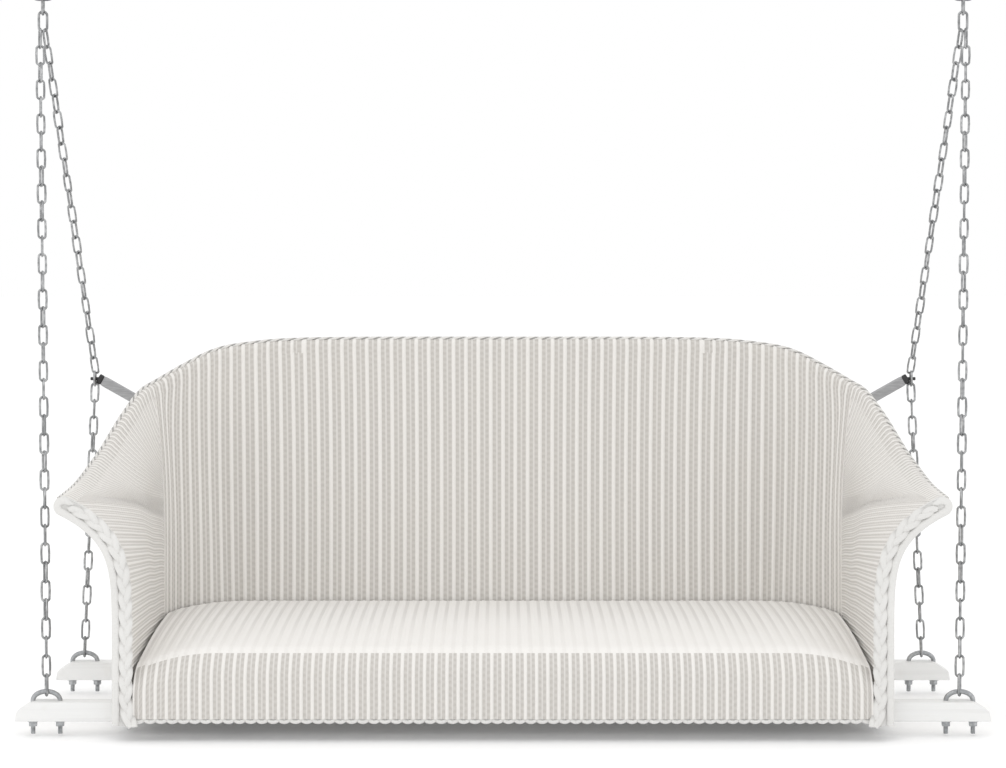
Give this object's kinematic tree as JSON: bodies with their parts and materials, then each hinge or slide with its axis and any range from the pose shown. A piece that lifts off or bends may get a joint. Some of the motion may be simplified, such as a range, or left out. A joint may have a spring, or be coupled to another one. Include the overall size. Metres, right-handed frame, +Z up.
{
  "type": "porch swing",
  "caption": "Two-seat hanging porch bench with a curved woven shell, flared arms and a sprung woven seat, on wooden beams and chains.",
  "frame": {"origin": "on the ceiling line, midway between the top faces of the two ceiling plates", "axes": "+Z up, +X to the viewer's right along the beams, +Y from the front of the seat towards its back"},
  "size_m": [1.672, 0.6774, 1.2685],
  "materials": {
    "loom_weave": "ribbed loom weave of twisted paper cord, painted warm white, matt",
    "loom_braid": "plaited loom cord, painted warm white, matt",
    "painted_wood": "white painted hardwood, satin, with faint grain",
    "frame_steel": "grey powder-coated steel",
    "galvanised_fasteners": "zinc plated steel, slightly dull",
    "galvanised_chain": "galvanised steel, softly mottled",
    "satin_bracket": "satin grey metal",
    "black_plug": "black plastic, matt",
    "ceiling_iron": "galvanised wrought iron, matt"
  },
  "bodies": {
    "ceiling_hooks": {"left_ceiling_eye": "ceiling_iron", "right_ceiling_eye": "ceiling_iron"},
    "swing": {"apron_hem_cord": "loom_braid", "back_inner_weave": "loom_weave", "back_outer_weave": "loom_weave", "front_apron": "loom_weave", "front_beam": "painted_wood", "front_left_beam_bolt": "galvanised_fasteners", "front_left_inner_nut": "galvanised_fasteners", "front_left_outer_nut": "galvanised_fasteners", "front_left_u_bolt": "galvanised_fasteners", "front_right_beam_bolt": "galvanised_fasteners", "front_right_inner_nut": "galvanised_fasteners", "front_right_outer_nut": "galvanised_fasteners", "front_right_u_bolt": "galvanised_fasteners", "left_arm_band": "loom_braid", "left_arm_braid": "loom_braid", "left_arm_front_post": "frame_steel", "left_arm_inner_weave": "loom_weave", "left_arm_outer_weave": "loom_weave", "left_back_post_outer": "frame_steel", "left_bracket_plug": "black_plug", "left_bracket_screw": "galvanised_fasteners", "left_chain_bracket": "satin_bracket", "left_front_chain": "galvanised_chain", "left_joining_link": "galvanised_chain", "left_rear_chain_lower": "galvanised_chain", "left_rear_chain_upper": "galvanised_chain", "left_seat_cross_bar": "frame_steel", "left_top_link": "galvanised_chain", "middle_back_post": "frame_steel", "rear_beam": "painted_wood", "rear_left_beam_bolt": "galvanised_fasteners", "rear_left_inner_nut": "galvanised_fasteners", "rear_left_outer_nut": "galvanised_fasteners", "rear_left_u_bolt": "galvanised_fasteners", "rear_right_beam_bolt": "galvanised_fasteners", "rear_right_inner_nut": "galvanised_fasteners", "rear_right_outer_nut": "galvanised_fasteners", "rear_right_u_bolt": "galvanised_fasteners", "right_arm_band": "loom_braid", "right_arm_braid": "loom_braid", "right_arm_front_post": "frame_steel", "right_arm_inner_weave": "loom_weave", "right_arm_outer_weave": "loom_weave", "right_back_post_outer": "frame_steel", "right_bracket_plug": "black_plug", "right_bracket_screw": "galvanised_fasteners", "right_chain_bracket": "satin_bracket", "right_front_chain": "galvanised_chain", "right_joining_link": "galvanised_chain", "right_rear_chain_lower": "galvanised_chain", "right_rear_chain_upper": "galvanised_chain", "right_seat_cross_bar": "frame_steel", "right_top_link": "galvanised_chain", "rim_roll": "loom_braid", "seat_deck": "loom_weave", "seat_frame_ring": "frame_steel", "seat_spring_mat": "frame_steel", "top_frame_tube": "frame_steel"}
  },
  "joints": [
    {"name": "swing_hinge", "type": "hinge", "parent": "ceiling_hooks", "child": "swing", "pos_m": [0, 0, -0.04], "axis": [1, 0, 0], "range_deg": [-25, 25]}
  ]
}
